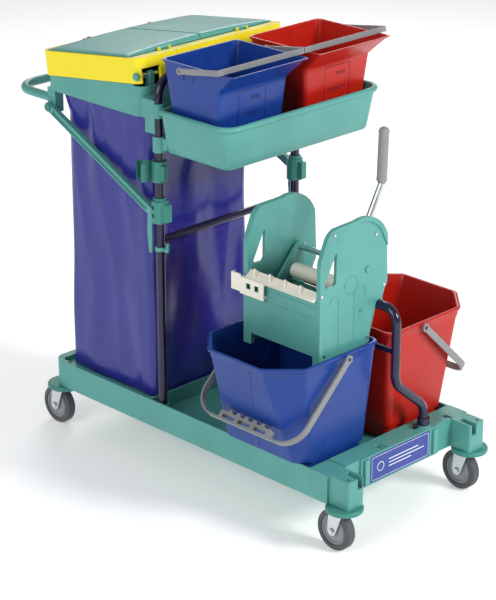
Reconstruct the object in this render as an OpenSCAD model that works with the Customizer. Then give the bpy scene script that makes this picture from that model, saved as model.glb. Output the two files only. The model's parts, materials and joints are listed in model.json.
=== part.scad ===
/* [Base] */
// Length of the base moulding behind the front beam
base_l = 900; // [800:1:1100]
// Width of the base
base_w = 488; // [440:1:560]
// Height of the underside of the base above the floor
base_z = 118; // [110:1:130]
// Depth of the base moulding
base_h = 70; // [60:1:90]
// Wall of the base moulding
base_t = 5; // [4:0.5:8]
// Length of the bag platform at the rear
platform_l = 365; // [300:1:400]
// Depth of the shallow recess that holds the bag
recess_h = 12; // [8:1:20]
// Depth of the bucket bay
bay_h = 38; // [30:1:45]

/* [Front beam] */
// Length of the front beam along the trolley
beam_l = 58; // [50:1:70]
// Width of each corner block
block_w = 52; // [48:1:60]
// How far the corner blocks stand in front of the beam
block_out = 56; // [50:1:70]

/* [Casters] */
// Diameter of each wheel
wheel_d = 100; // [80:1:105]
// Width of each tyre
tyre_w = 24; // [20:1:28]
// Distance from the swivel axis back to the axle
trail = 24; // [18:1:30]
// Distance between front and rear swivel axes
swivel_l = 972; // [900:1:1100]
// Distance between left and right swivel axes
swivel_w = 440; // [400:1:460]
// Diameter of the round bumper discs
bumper_d = 88; // [70:1:100]

/* [Frame] */
// Diameter of the upright tube
post_d = 22; // [18:1:28]
// Wall of the upright tube
post_t = 2; // [1.5:0.5:3]
// Distance between the two uprights
post_w = 454; // [400:1:470]
// Height of the top bar of the uprights
post_z = 1000; // [950:1:1050]
// Height of the crossbar
crossbar_z = 604; // [560:1:640]

/* [Bag end] */
// Diameter of the push handle tube
handle_d = 22; // [18:1:28]
// Height of the push handle
handle_z = 870; // [840:1:890]
// Length of the push handle behind the bag holder
handle_l = 146; // [110:1:180]
// Length of the bag holder
holder_l = 350; // [320:1:360]
// Width of the bag holder
holder_w = 476; // [440:1:500]
// Upward tilt of the lid ring towards the uprights
ring_tilt = 7.6; // [4:0.1:9]
// Height of the lid ring
ring_h = 60; // [50:1:66]
// Thickness of the bag film with its folds
bag_t = 3; // [2:0.5:5]

/* [Tray and pails] */
// Length of the upper tray
tray_l = 231; // [225:1:260]
// Width of the upper tray
tray_w = 524; // [518:1:560]
// Height of the upper tray
tray_h = 109; // [90:1:120]
// Length of a small pail body
pail_l = 180; // [160:1:190]
// Width of a small pail
pail_w = 237; // [220:1:240]
// Height of a small pail
pail_h = 228; // [200:1:250]

/* [Large buckets] */
// Length of a large bucket at its rim
bucket_l = 309; // [280:1:320]
// Width of a large bucket at its rim
bucket_w = 312; // [300:1:320]
// Height of a large bucket
bucket_h = 290; // [260:1:300]
// Wall of a large bucket
bucket_t = 3.5; // [3:0.5:5]

/* [Wringer] */
// Distance over the two wringer cheeks
wringer_l = 232; // [210:1:250]
// Thickness of each wringer cheek
cheek_t = 8; // [6:0.5:12]
// Height of the bridge tube that carries the wringer
bridge_z = 516; // [505:1:530]
// Diameter of the press roller
roller_d = 36; // [30:1:38]
// Length of the lever above its hub
lever_h = 300; // [260:1:340]

/* [Hidden] */

$fn = 48;
clear = 0.3;            // gap between neighbours that only rest or slide
run_fit = 0.05;         // radial clearance of a running fit
seat_gap = 0.4;         // height of a seated piece above its seat
leaf = "#5da398";
leaf_dark = "#3c7f76";
tube_dark = "#231c50";
zinc = "#b9bcc0";
yellow = "#f0e43c";
blue = "#3e5aa5";
red = "#c33226";
cream = "#ece6cf";
grip_grey = "#9a9c9e";
black = "#26262a";

// Places along the trolley, measured from the middle of the wheelbase
base_x0 = -500;
beam_x0 = base_x0 + base_l;
beam_x1 = beam_x0 + beam_l;
block_x1 = beam_x1 + block_out;
block_in = 6;
base_top = base_z + base_h;
platform_x1 = base_x0 + platform_l;
recess_z = base_top - recess_h;
bay_z = base_top - bay_h;
plate_l = 206;
beam_top = base_top + 4;
keyhole_d = 20;
sx = swivel_l / 2;
sy = swivel_w / 2;
corners = [[sx, -sy], [sx, sy], [-sx, -sy], [-sx, sy]];
stem_d = 12;
bumper_h = 12.5;
crown_z = base_z - bumper_h - clear;
crown_h = 3.7;
axle_d = 8;
corner_r = 30;
boss_r = 22;

post_x = -108;
post_y = post_w / 2;
post_r = post_d / 2;
post_bend = 50;
post_foot = bay_z + 2;
crossbar_d = 18;
collar_r = post_r + 7;

holder_x1 = -150;
holder_x0 = holder_x1 - holder_l;
holder_y = holder_w / 2;
holder_t = 6;
holder_z = 895;
rod_d = 10;
rod_x = -167;
rod_z = 991;
ring_front = 14;
ring_back = holder_l - 8;
ring_y = holder_y + 2;
ring_t = 8;
ring_low = -17;
ring_top = ring_low + ring_h;
strip_l = 36;
lid_t = 8.5;
lid_x0 = -ring_back + ring_t + 1;
lid_x1 = ring_front - strip_l - 1.5;
lid_axis_z = ring_top + 4;
lid_pin_d = 4;
knuckle_y = 128;
knuckle_w = 28;
handle_x = holder_x0 - handle_l + handle_d / 2;
handle_y = 222;
handle_bend = 60;
lug_x = holder_x0 + 14;
lug_w = 28;
pivot_z = 852;
brace_y = holder_y - 6;
brace_t = 12;
brace_end_z = 676;
brace_collar_h = 54;
clip_r = 12.5;
clip_z = 750;
clip_h = 50;

tray_x0 = -77;
tray_z = 828;
tray_t = 3;
tray_taper = 18;
tray_corner = 45;
pail_x0 = -62;
pail_y = 138.5;
pail_z = tray_z + tray_t + seat_gap;
pail_top = pail_z + pail_h;
pail_t = 2.5;
pail_taper = [16, 28];
tub_corner = 34;
lip_out = 50;
lip_h = 50;
strap_h = 13;
strap_t = 3;
strap_pivot_x = 14;
strap_pivot_z = pail_top - 12;
strap_l = 126;
strap_w = 2 * (pail_y - 0.8) - 0.2;
strap_lift = 9;

bucket_x1 = beam_x0 + 3;
bucket_x0 = bucket_x1 - bucket_l;
bucket_y0 = 21;
bucket_y1 = bucket_y0 + bucket_w;
bucket_z = bay_z + seat_gap;
bucket_top = bucket_z + bucket_h;
bucket_cut = 70;
bucket_low = base_top + seat_gap;
bucket_in = 16;
bucket_side = 81;
foot_in = 22;
foot_side = 97;
bail_y = 132;
bail_z = bucket_top - 13;
bail_w = bucket_l + 12;
bail_l = 244;
bail_hang = 44;
bail_h = 16;
bail_t = 5;
bail_corner = 62;
bail_pin_d = 10;

bridge_d = 22;
bridge_x1 = 436;
bridge_x0 = 60;
bridge_bend = 36;
bridge_foot_y = 105;
bridge_s_r = 50;
bridge_s_a = 50;
bridge_foot_h = 30;
weld = 0.4;
bridge_brace_z = 412;
keeper_t = 1.6;
keeper_drop = 8;

wr_x0 = 148;
wr_x1 = wr_x0 + wringer_l;
wr_low = 412;
wr_front = -200;
wr_back = -30;
shaft_y = -40;
shaft_z = 612;
shaft_d = 14;
roller_y = -60;
roller_z = 560;
roller_x0 = wr_x0 + cheek_t + 16;
roller_x1 = wr_x1 - cheek_t - 16;
roller_pin_d = 8;
lower_z = 517;
lower_d = 34;
arm_t = 6;
lever_x = wr_x1 - cheek_t - 24;
lever_d = 16;
knee = [26, 88];
elbow = [76, 178];
grip_d = 24;

rear_reach = -(handle_x - handle_d / 2);
front_reach = max(sx + bumper_d / 2, block_x1);
shift_x = (rear_reach - front_reach) / 2;

// Moves everything so that the origin lies under the middle of the trolley
module placed() { translate([shift_x, 0, 0]) children(); }

// Straight round bar between two points
module bar(p, q, d) {
    v = q - p;
    len = norm(v);
    translate(p)
        rotate([0, acos(v[2] / len), atan2(v[1], v[0])])
            cylinder(h = len, d = d);
}

// Quarter or part bend of a round bar, starting upwards at the origin and turning to +X
module bend(r, a, d) {
    translate([r, 0, 0]) rotate([90, 0, 0]) mirror([1, 0, 0])
        rotate_extrude(angle = a) translate([r, 0]) circle(d = d);
}

// Points of an arc about c from angle a0 to a1
function arc(c, r, a0, a1, n = 8) =
    [for (i = [0:n]) c + r * [cos(a0 + (a1 - a0) * i / n), sin(a0 + (a1 - a0) * i / n)]];

// Flat rounded rectangle
module slab(x0, x1, y0, y1, r) {
    pts = concat(arc([x1 - r, y1 - r], r, 0, 90), arc([x0 + r, y1 - r], r, 90, 180),
        arc([x0 + r, y0 + r], r, 180, 270), arc([x1 - r, y0 + r], r, 270, 360));
    polygon(pts);
}

// Box given by its two corners
module block(a, b) { translate(a) cube(b - a); }

module both_sides() {
    children();
    mirror([0, 1, 0]) children();
}

// ---- base ----

module base_outline() {
    union() {
        slab(base_x0, beam_x0, -base_w / 2, base_w / 2, corner_r);
        translate([beam_x0 - 60, -base_w / 2]) square([60, base_w]);
    }
}

module base_tray() {
    inner_w = base_w - 2 * base_t;
    ledge = 12;
    placed() color(leaf) difference() {
        translate([0, 0, base_z]) linear_extrude(base_h) base_outline();
        // shallow recess for the bag
        translate([0, 0, recess_z]) linear_extrude(base_h)
            slab(base_x0 + 22, platform_x1 - 6, -base_w / 2 + ledge, base_w / 2 - ledge, 12);
        // bucket bay
        translate([0, 0, bay_z]) linear_extrude(base_h)
            slab(platform_x1, beam_x0 - base_t, -inner_w / 2, inner_w / 2, 4);
        // hollow underneath, with round bosses left at the rear casters
        difference() {
            union() {
                block([base_x0 + base_t, -inner_w / 2, base_z - 1],
                    [platform_x1 - base_t, inner_w / 2, recess_z - base_t]);
                block([platform_x1 + 1, -inner_w / 2, base_z - 1],
                    [beam_x0 - base_t, inner_w / 2, bay_z - base_t]);
            }
            for (s = [-1, 1])
                translate([-sx, s * sy, 0]) cylinder(h = 400, r = boss_r);
            for (s = [-1, 0, 1])
                translate([base_x0, s * 120 - 2, 0]) cube([base_l, 4, 400]);
        }
        for (s = [-1, 1]) {
            translate([-sx, s * sy, base_z - 1])
                cylinder(h = base_h - 8, r = stem_d / 2 + run_fit);
            translate([-sx + 38, s * (base_w / 2 - 9) - 5, base_top - 6]) cube([24, 10, 10]);
        }
        // lower end of the second bridge leg
        translate([bridge_x0, 0, bay_z - 2]) cylinder(h = 10, d = bridge_d);
    }
}

module keyhole_cut() {
    translate([0, 0, beam_top - 10]) linear_extrude(20) difference() {
        union() {
            circle(d = keyhole_d);
            translate([0, -keyhole_d / 2]) square([keyhole_d * 0.85, keyhole_d]);
        }
        translate([6, -3]) square([20, 6]);
    }
}

module front_beam() {
    half = base_w / 2;
    crown = 4;
    placed() color(leaf) difference() {
        union() {
            block([beam_x0, -half, base_z], [beam_x1 - crown, half, beam_top - 3]);
            block([beam_x0, -half + 62, base_z], [beam_x1 - crown, half - 62, beam_top]);
            block([beam_x0, -half + 108, base_z], [beam_x1, half - 108, beam_top]);
            for (s = [-1, 1]) {
                translate([0, s * (half - block_in - block_w / 2), base_z]) linear_extrude(base_h + 1)
                    slab(beam_x1 - crown - 10, block_x1, -block_w / 2, block_w / 2, 6);
                // end clips of the front plate
                translate([beam_x1 - crown, s * (half - 124) - 7, base_z + 6])
                    cube([crown + 7, 14, beam_top - base_z - 10]);
            }
            // raised foot of the bridge tube
            translate([bridge_x1, bridge_foot_y, beam_top - 1]) cylinder(h = 6, r = bridge_d / 2 + 6);
        }
        // hollow underneath
        block([beam_x0 + base_t, -half + base_t, base_z - 1],
            [beam_x1 - crown - base_t, bridge_foot_y - 20, beam_top - 8]);
        block([beam_x0 + base_t, bridge_foot_y + 20, base_z - 1],
            [beam_x1 - crown - base_t, half - base_t, beam_top - 8]);
        // seat of the front plate
        block([beam_x1 - 2.5, -plate_l / 2 - clear, base_z + 4 - clear],
            [beam_x1 + 1, plate_l / 2 + clear, beam_top - 4 + clear]);
        // keyholes in the top
        translate([beam_x0 + 34, -48, 0]) keyhole_cut();
        translate([beam_x0 + 34, 186, 0]) keyhole_cut();
        // slot and keyhole at the top of each corner block, and its caster bore
        for (s = [-1, 1]) translate([sx, s * sy, 0]) {
            translate([0, 0, base_z - 1]) cylinder(h = 38, r = stem_d / 2 + run_fit);
            translate([-13, -s * 20 - 8, base_top - 26]) cube([100, 16, 60]);
            translate([block_w / 2 - 16, s * 6 - 4, base_top - 30]) cube([9, 8, 60]);
        }
        translate([bridge_x1, bridge_foot_y, base_z + 20]) cylinder(h = 200, d = bridge_d);
    }
}

module front_plate() {
    placed() color(blue)
        block([beam_x1 - 2.2, -plate_l / 2, base_z + 4], [beam_x1 + 0.8, plate_l / 2, beam_top - 4]);
}

module bumper_discs() {
    r = bumper_d / 2;
    soft = 4;
    placed() color(leaf_dark) for (c = corners) translate([c[0], c[1], base_z - bumper_h])
        difference() {
            union() {
                cylinder(h = bumper_h, r = r - soft);
                translate([0, 0, soft]) cylinder(h = bumper_h - 2 * soft, r = r);
                for (z = [soft, bumper_h - soft])
                    translate([0, 0, z]) rotate_extrude() translate([r - soft, 0]) circle(r = soft);
            }
            translate([0, 0, -1]) cylinder(h = bumper_h + 2, r = stem_d / 2 + run_fit);
        }
}

// ---- casters ----

module fork(c) {
    inner = tyre_w / 2 + 2.2;
    plate = 3;
    z0 = wheel_d / 2;
    placed() color(zinc) translate([c[0], c[1], 0]) {
        difference() {
            union() {
                translate([0, 0, crown_z - crown_h]) cylinder(h = crown_h, r = 22);
                block([-trail - 8, -inner - plate, crown_z - crown_h], [0, inner + plate, crown_z]);
                for (s = [-1, 1]) translate([0, s * (inner + plate / 2) + plate / 2, 0]) rotate([90, 0, 0])
                    linear_extrude(plate) polygon(concat(
                        [[10, crown_z], [-trail - 8, crown_z], [-trail - 12, z0 + 14]],
                        arc([-trail, z0], 12, 180, 330, 8)));
            }
            translate([-trail, 0, z0]) rotate([90, 0, 0]) cylinder(h = 80, d = axle_d, center = true);
        }
        translate([0, 0, crown_z - 1]) cylinder(h = 40, d = stem_d);
    }
}

module tyre(c) {
    soft = 5;
    r = wheel_d / 2;
    placed() color(black) translate([c[0] - trail, c[1], r]) rotate([90, 0, 0])
        rotate_extrude() {
            translate([r - 13, -tyre_w / 2]) square([13 - soft, tyre_w]);
            translate([r - soft - 1, -tyre_w / 2 + soft]) square([soft + 1, tyre_w - 2 * soft]);
            for (s = [-1, 1]) translate([r - soft, s * (tyre_w / 2 - soft)]) circle(r = soft, $fn = 24);
        }
}

module hub(c) {
    r = wheel_d / 2;
    placed() color(grip_grey) translate([c[0] - trail, c[1], r]) rotate([90, 0, 0])
        difference() {
            union() {
                cylinder(h = tyre_w - 6, r = r - 13, center = true);
                cylinder(h = tyre_w - 1, r = r - 17, center = true);
                cylinder(h = tyre_w + 3.8, r = 10, center = true);
            }
            cylinder(h = 60, r = axle_d / 2 + run_fit, center = true);
            for (s = [-1, 1]) translate([0, 0, s * (tyre_w / 2 + 0.5)])
                difference() {
                    cylinder(h = 7, r = r - 20, center = true);
                    cylinder(h = 20, r = 14, center = true);
                }
        }
}

module axle(c) {
    reach = tyre_w / 2 + 5.2;
    placed() color(zinc) translate([c[0] - trail, c[1], wheel_d / 2]) rotate([90, 0, 0]) {
        cylinder(h = 2 * reach, d = axle_d, center = true);
        for (s = [-1, 1]) translate([0, 0, s * (reach + 2.2)])
            cylinder(h = 4.4, d = 14, center = true, $fn = 6);
    }
}

module fork_fl() { fork(corners[1]); }
module fork_fr() { fork(corners[0]); }
module fork_rl() { fork(corners[3]); }
module fork_rr() { fork(corners[2]); }
module tyre_fl() { tyre(corners[1]); }
module tyre_fr() { tyre(corners[0]); }
module tyre_rl() { tyre(corners[3]); }
module tyre_rr() { tyre(corners[2]); }
module hub_fl() { hub(corners[1]); }
module hub_fr() { hub(corners[0]); }
module hub_rl() { hub(corners[3]); }
module hub_rr() { hub(corners[2]); }
module axles_fl() { axle(corners[1]); }
module axles_fr() { axle(corners[0]); }
module axles_rl() { axle(corners[3]); }
module axles_rr() { axle(corners[2]); }

// ---- uprights ----

module post_sockets() {
    placed() color(leaf) both_sides() translate([post_x, post_y, bay_z]) difference() {
        union() {
            cylinder(h = 32, r = post_r + 6);
            translate([-20, -14, 0]) cube([40, 25, 8]);
        }
        translate([0, 0, 2]) cylinder(h = 60, d = post_d);
        // flat against the side wall of the bay
        translate([-40, base_w / 2 - base_t - post_y - 0.1, -1]) cube([80, 40, 60]);
    }
}

module post_path(d) {
    translate([0, -post_y, post_foot]) cylinder(h = post_z - post_bend - post_foot, d = d);
    translate([0, -post_y, post_z - post_bend]) rotate([0, 0, 90]) bend(post_bend, 90, d);
    translate([0, -post_y + post_bend, post_z]) rotate([-90, 0, 0])
        cylinder(h = post_y - post_bend, d = d);
}

module post_frame() {
    placed() color(tube_dark) translate([post_x, 0, 0]) difference() {
        both_sides() post_path(post_d);
        both_sides() post_path(post_d - 2 * post_t);
    }
}

module crossbar() {
    half = post_y - post_r;
    placed() color(tube_dark) translate([post_x, 0, crossbar_z]) rotate([90, 0, 0]) difference() {
        cylinder(h = 2 * half, d = crossbar_d, center = true);
        cylinder(h = 3 * half, d = crossbar_d - 3, center = true);
    }
}

module coat_hook() {
    placed() color(leaf) translate([post_x, -post_y, crossbar_z - 26]) difference() {
        union() {
            cylinder(h = 10, r = post_r + 3);
            translate([post_r, -3, 0]) cube([16, 6, 8]);
            translate([post_r + 11, -3, 0]) cube([5, 6, 22]);
        }
        translate([0, 0, -1]) cylinder(h = 60, d = post_d);
    }
}

// ---- bridge tube over the bucket bay ----

module bridge_path(d) {
    s_r = bridge_s_r;
    s_a = bridge_s_a;
    z0 = beam_top + bridge_foot_h;
    side = bridge_foot_y;
    slant = (side - 2 * s_r * (1 - cos(s_a))) / sin(s_a);
    mid_z = z0 + s_r * sin(s_a);
    mid_y = side - s_r * (1 - cos(s_a));
    top_z = mid_z + slant * cos(s_a);
    end_z = top_z + s_r * sin(s_a);
    translate([bridge_x1, side, base_z + 22]) cylinder(h = z0 - base_z - 22, d = d);
    translate([bridge_x1, side, z0]) rotate([0, 0, -90]) bend(s_r, s_a, d);
    translate([bridge_x1, mid_y, mid_z]) rotate([s_a, 0, 0]) {
        cylinder(h = slant, d = d);
        // weld beads at both ends of the slanting run
        for (z = [-1, slant - 1]) translate([0, 0, z]) cylinder(h = 2, d = d + weld);
    }
    translate([bridge_x1, 0, end_z]) mirror([0, 0, 1]) rotate([0, 0, 90]) bend(s_r, s_a, d);
    translate([bridge_x1, 0, end_z]) cylinder(h = bridge_z - bridge_bend - end_z, d = d);
    translate([bridge_x1, 0, bridge_z - bridge_bend]) rotate([0, 0, 180]) bend(bridge_bend, 90, d);
    bar([bridge_x0 + bridge_bend, 0, bridge_z], [bridge_x1 - bridge_bend, 0, bridge_z], d);
    translate([bridge_x0, 0, bridge_z - bridge_bend]) bend(bridge_bend, 90, d);
    translate([bridge_x0, 0, bay_z - 1.9]) cylinder(h = bridge_z - bridge_bend - bay_z + 1.9, d = d);
}

module bridge_tube() {
    placed() color(tube_dark) bridge_path(bridge_d);
}

module bridge_brace() {
    r = bridge_d / 2;
    placed() color(tube_dark)
        bar([bridge_x0 + r, 0, bridge_brace_z], [bridge_x1 - r, 0, bridge_brace_z], 14);
}

module bridge_foot() {
    r = bridge_d / 2;
    placed() color(tube_dark) {
        translate([bridge_x1, bridge_foot_y, beam_top + 5]) difference() {
            cylinder(h = 18, r = r + 4);
            translate([0, 0, -1]) cylinder(h = 30, d = bridge_d);
        }
        translate([bridge_x1 - 4, bridge_foot_y - 24, beam_top]) {
            cylinder(h = 5, d = 12);
            translate([0, 0, 5]) cylinder(h = 6, d = 8);
        }
        translate([bridge_x0, 0, bay_z]) difference() {
            cylinder(h = 22, r = r + 4);
            translate([0, 0, -1]) cylinder(h = 30, d = bridge_d);
        }
    }
}

// ---- bag holder ----

// Places its children in the frame of the tilted lid ring, with the rod at the origin
module ring_frame() {
    translate([rod_x, 0, rod_z]) rotate([0, -ring_tilt, 0]) children();
}

module holder_frame() {
    lug_y0 = handle_y - 16;
    placed() color(leaf) difference() {
        union() {
            difference() {
                translate([0, 0, holder_z]) linear_extrude(90)
                    slab(holder_x0, holder_x1, -holder_y, holder_y, 30);
                translate([0, 0, holder_z - 1]) linear_extrude(200)
                    slab(holder_x0 + holder_t, holder_x1 - holder_t, -holder_y + holder_t,
                        holder_y - holder_t, 24);
                ring_frame() translate([-500, -400, ring_low - 1]) cube([700, 800, 300]);
                block([rod_x - 14, -400, rod_z - 24], [0, 400, rod_z + 100]);
            }
            // rear lugs for the handle and the braces
            both_sides() block([lug_x - lug_w / 2, lug_y0, pivot_z - 14],
                [lug_x + lug_w / 2, brace_y, holder_z + 4]);
            // front lugs for the hinge rod
            both_sides() {
                translate([rod_x, 206, rod_z]) rotate([90, 0, 0]) cylinder(h = 14, d = 18);
                block([rod_x - 9, 192, rod_z - 60], [rod_x + 9, 206, rod_z]);
                block([rod_x - 9, 192, rod_z - 60], [holder_x1 - 1, 206, rod_z - 46]);
            }
        }
        translate([rod_x, 0, rod_z]) rotate([90, 0, 0]) cylinder(h = 700, d = rod_d, center = true);
        translate([lug_x, 0, pivot_z]) rotate([90, 0, 0]) cylinder(h = 700, d = 10, center = true);
        both_sides() bar([lug_x - lug_w / 2 - 1, handle_y, handle_z],
            [lug_x - lug_w / 2 + 16, handle_y, handle_z], handle_d);
    }
}

module frame_sockets() {
    placed() color(leaf) both_sides() difference() {
        union() {
            block([holder_x1 + 0.1, post_y - 13, holder_z + 5], [post_x + 2, post_y + 15, holder_z + 52]);
            block([holder_x1 + 12, post_y - 13, holder_z - 28], [post_x + 2, post_y + 15, holder_z + 5]);
            translate([post_x, post_y, holder_z + 10]) cylinder(h = 34, r = post_r + 4);
        }
        translate([post_x, post_y, 0]) cylinder(h = 2000, d = post_d);
    }
}

module hinge_rod() {
    cap_y = ring_y + clear;
    placed() {
        color(zinc) translate([rod_x, 0, rod_z]) rotate([90, 0, 0])
            cylinder(h = 2 * cap_y, d = rod_d, center = true);
        color(leaf) both_sides() {
            translate([rod_x, cap_y, rod_z]) rotate([-90, 0, 0]) cylinder(h = 3, d = 18);
            translate([rod_x, 216, rod_z]) rotate([-90, 0, 0]) cylinder(h = 9, d = 15);
        }
    }
}

module push_handle() {
    root = lug_x - lug_w / 2 + 16;
    placed() color(leaf) both_sides() {
        bar([handle_x + handle_bend, handle_y, handle_z], [root, handle_y, handle_z], handle_d);
        translate([handle_x + handle_bend, handle_y - handle_bend, handle_z])
            rotate([0, 0, 90]) rotate_extrude(angle = 90) translate([handle_bend, 0]) circle(d = handle_d);
        bar([handle_x, 0, handle_z], [handle_x, handle_y - handle_bend, handle_z], handle_d);
    }
}

// Flat profile of a brace in the XZ plane
module brace_profile() {
    top = [lug_x, pivot_z];
    low = [post_x - 20, brace_end_z];
    way = (low - top) / norm(low - top);
    side = 10 * [-way[1], way[0]];
    union() {
        polygon([top + side, low + side, low - side, top - side]);
        translate(top) circle(r = 12);
        polygon([low + side, low + side + [12, -4], low + [10, -60], low + [8, -104],
            low + [-2, -104], low + [-8, -50], low - side]);
    }
}

module brace() {
    placed() color(leaf) difference() {
        translate([0, brace_y + brace_t, 0]) rotate([90, 0, 0]) linear_extrude(brace_t) brace_profile();
        // channel along the outer face
        translate([0, brace_y + brace_t + 1, 0]) rotate([90, 0, 0]) linear_extrude(5) {
            top = [lug_x, pivot_z];
            low = [post_x - 20, brace_end_z];
            way = (low - top) / norm(low - top);
            side = 6 * [-way[1], way[0]];
            polygon([top + 20 * way + side, low - 10 * way + side, low - 10 * way - side,
                top + 20 * way - side]);
        }
        translate([lug_x, 0, pivot_z]) rotate([90, 0, 0]) cylinder(h = 900, d = 10, center = true);
        translate([post_x, post_y, 0]) cylinder(h = 2000, r = collar_r + 2 + 0.1);
    }
}

module brace_left() { brace(); }
module brace_right() { mirror([0, 1, 0]) brace(); }

module brace_collars() {
    placed() color(leaf_dark) both_sides()
        translate([post_x, post_y, brace_end_z - brace_collar_h / 2]) difference() {
            union() {
                cylinder(h = brace_collar_h, r = collar_r + 2);
                translate([0, 0, brace_collar_h]) cylinder(h = 7, r = post_r + 4);
                translate([8, -8, 6]) cube([24, 16, brace_collar_h - 12]);
            }
            translate([0, 0, -1]) cylinder(h = 200, d = post_d);
            for (z = [14, 34]) translate([-9, post_r + 2, z]) cube([10, 20, 9]);
        }
}

module brace_bolts() {
    placed() color(leaf_dark) both_sides() translate([lug_x, handle_y - 16, pivot_z]) rotate([-90, 0, 0]) {
        cylinder(h = brace_y + brace_t - handle_y + 16, d = 10);
        translate([0, 0, brace_y + brace_t - handle_y + 16]) cylinder(h = 3.5, d = 19);
    }
}

module tool_clips() {
    jaw_x = -25;
    jaw_y = 28.5;
    placed() color(leaf_dark) both_sides() translate([post_x, post_y, clip_z]) difference() {
        union() {
            cylinder(h = clip_h, r = collar_r);
            translate([jaw_x, jaw_y, 2]) cylinder(h = clip_h - 4, r = clip_r + 4);
            translate([jaw_x, 4, 4]) cube([-jaw_x, 11, clip_h - 8]);
            translate([6, -4, 8]) cube([20, 14, clip_h - 16]);
        }
        translate([0, 0, -1]) cylinder(h = 200, d = post_d);
        translate([jaw_x, jaw_y, -1]) cylinder(h = 200, r = clip_r);
        // mouth of the jaw, narrower than a broom handle
        translate([jaw_x - 8.5, jaw_y, -1]) cube([17, 60, 200]);
    }
}

// ---- upper tray and pails ----

module tray_tub(grow, z0, z1, taper) {
    x1 = tray_x0 + tray_l - 8 - grow;
    x0 = tray_x0 + grow;
    y = tray_w / 2 - 8 - grow;
    r = tub_corner - grow;
    hull() for (s = [-1, 1]) {
        translate([x1 - r, s * (y - r), z1 - 1]) cylinder(h = 1, r = r, $fn = 32);
        translate([x1 - r - taper, s * (y - r - taper), z0]) cylinder(h = 1, r = r, $fn = 32);
        translate([x0 + 12, s * (y - 12), z1 - 1]) cylinder(h = 1, r = 12, $fn = 24);
        translate([x0 + 12, s * (y - 12 - taper), z0]) cylinder(h = 1, r = 12, $fn = 24);
    }
}

module upper_tray() {
    top = tray_z + tray_h;
    rim = 8;
    placed() color(leaf) difference() {
        union() {
            tray_tub(0, tray_z, top, tray_taper);
            // rolled rim
            translate([0, 0, top - 14]) linear_extrude(14) union() {
                slab(tray_x0, tray_x0 + tray_l, -tray_w / 2, tray_w / 2, tray_corner);
                slab(tray_x0, tray_x0 + 100, -tray_w / 2, tray_w / 2, 14);
            }
        }
        tray_tub(tray_t, tray_z + tray_t, top + 1, tray_taper);
        // hollow under the rolled rim
        translate([0, 0, top - 15]) linear_extrude(11) difference() {
            union() {
                slab(tray_x0 + 2.5, tray_x0 + tray_l - 2.5, -tray_w / 2 + 2.5, tray_w / 2 - 2.5,
                    tray_corner - 2);
                slab(tray_x0 + 2.5, tray_x0 + 100, -tray_w / 2 + 2.5, tray_w / 2 - 2.5, 12);
            }
            union() {
                slab(tray_x0 - 20, tray_x0 + tray_l - rim, -tray_w / 2 + rim, tray_w / 2 - rim,
                    tray_corner - rim);
                slab(tray_x0 - 20, tray_x0 + 100, -tray_w / 2 + rim, tray_w / 2 - rim, 10);
            }
        }
    }
}

module tray_brackets() {
    reach = tray_x0 - clear;
    placed() color(leaf) both_sides() difference() {
        union() {
            translate([post_x, post_y, tray_z - 6]) cylinder(h = 38, r = post_r + 4);
            block([post_x, post_y - 11, tray_z + 2], [reach, post_y + 3, tray_z + 30]);
        }
        translate([post_x, post_y, 0]) cylinder(h = 2000, d = post_d);
    }
}

// Body of a small pail, widening upwards, with its pouring lip on the +X side
module pail_solid(grow) {
    w = pail_w / 2 - grow;
    taper = pail_taper;
    z0 = pail_z + grow;
    top = pail_top + (grow > 0 ? 1 : 0);
    x0 = pail_x0 + grow;
    x1 = pail_x0 + pail_l - grow;
    neck = pail_top - lip_h;
    union() {
        hull() {
            translate([x0 + taper[0], -w + taper[1], z0])
                cube([x1 - x0 - 2 * taper[0], 2 * (w - taper[1]), 1]);
            translate([x0, -w, top - 1]) cube([x1 - x0, 2 * w, 1]);
        }
        hull() {
            translate([x1 - 30, -w + 4, neck + grow]) cube([28, 2 * w - 8, 1]);
            translate([x1 - 30, -w, top - 1]) cube([30 + lip_out, 2 * w, 1]);
        }
    }
}

module pail(side) {
    w = pail_w / 2;
    rim = 3;
    placed() translate([0, side * pail_y, 0]) difference() {
        union() {
            pail_solid(0);
            // folded rim
            translate([pail_x0 - rim, -w - rim, pail_top - 5])
                cube([pail_l + lip_out + 2 * rim, pail_w + 2 * rim, 5]);
            // pivot pins of the bail
            for (s = [-1, 1]) translate([strap_pivot_x, s * w, strap_pivot_z]) rotate([90, 0, 0])
                cylinder(h = strap_w - pail_w, d = 8, center = true);
        }
        pail_solid(pail_t);
        block([pail_x0 + pail_t, -w + pail_t, pail_top - 6],
            [pail_x0 + pail_l + lip_out - pail_t, w - pail_t, pail_top + 5]);
    }
}

module pail_blue() { color(blue) pail(-1); }
module pail_red() { color(red) pail(1); }

// Strap bail lying forwards on the rim
module pail_bail(side) {
    half = strap_w / 2;
    placed() color(grip_grey) translate([strap_pivot_x, side * pail_y, strap_pivot_z])
        rotate([0, -strap_lift, 0]) difference() {
            union() {
                for (s = [-1, 1]) {
                    translate([0, s * (half - strap_t / 2) - strap_t / 2, -strap_h / 2])
                        cube([strap_l, strap_t, strap_h]);
                    translate([0, s * (half - strap_t / 2) + strap_t / 2, 0]) rotate([90, 0, 0])
                        cylinder(h = strap_t, d = strap_h + 3);
                }
                translate([strap_l - strap_t, -half, -strap_h / 2]) cube([strap_t, 2 * half, strap_h]);
            }
            rotate([90, 0, 0]) cylinder(h = 400, r = 4 + run_fit, center = true);
        }
}

module pail_bail_blue() { pail_bail(-1); }
module pail_bail_red() { pail_bail(1); }

// ---- large buckets ----

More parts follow.
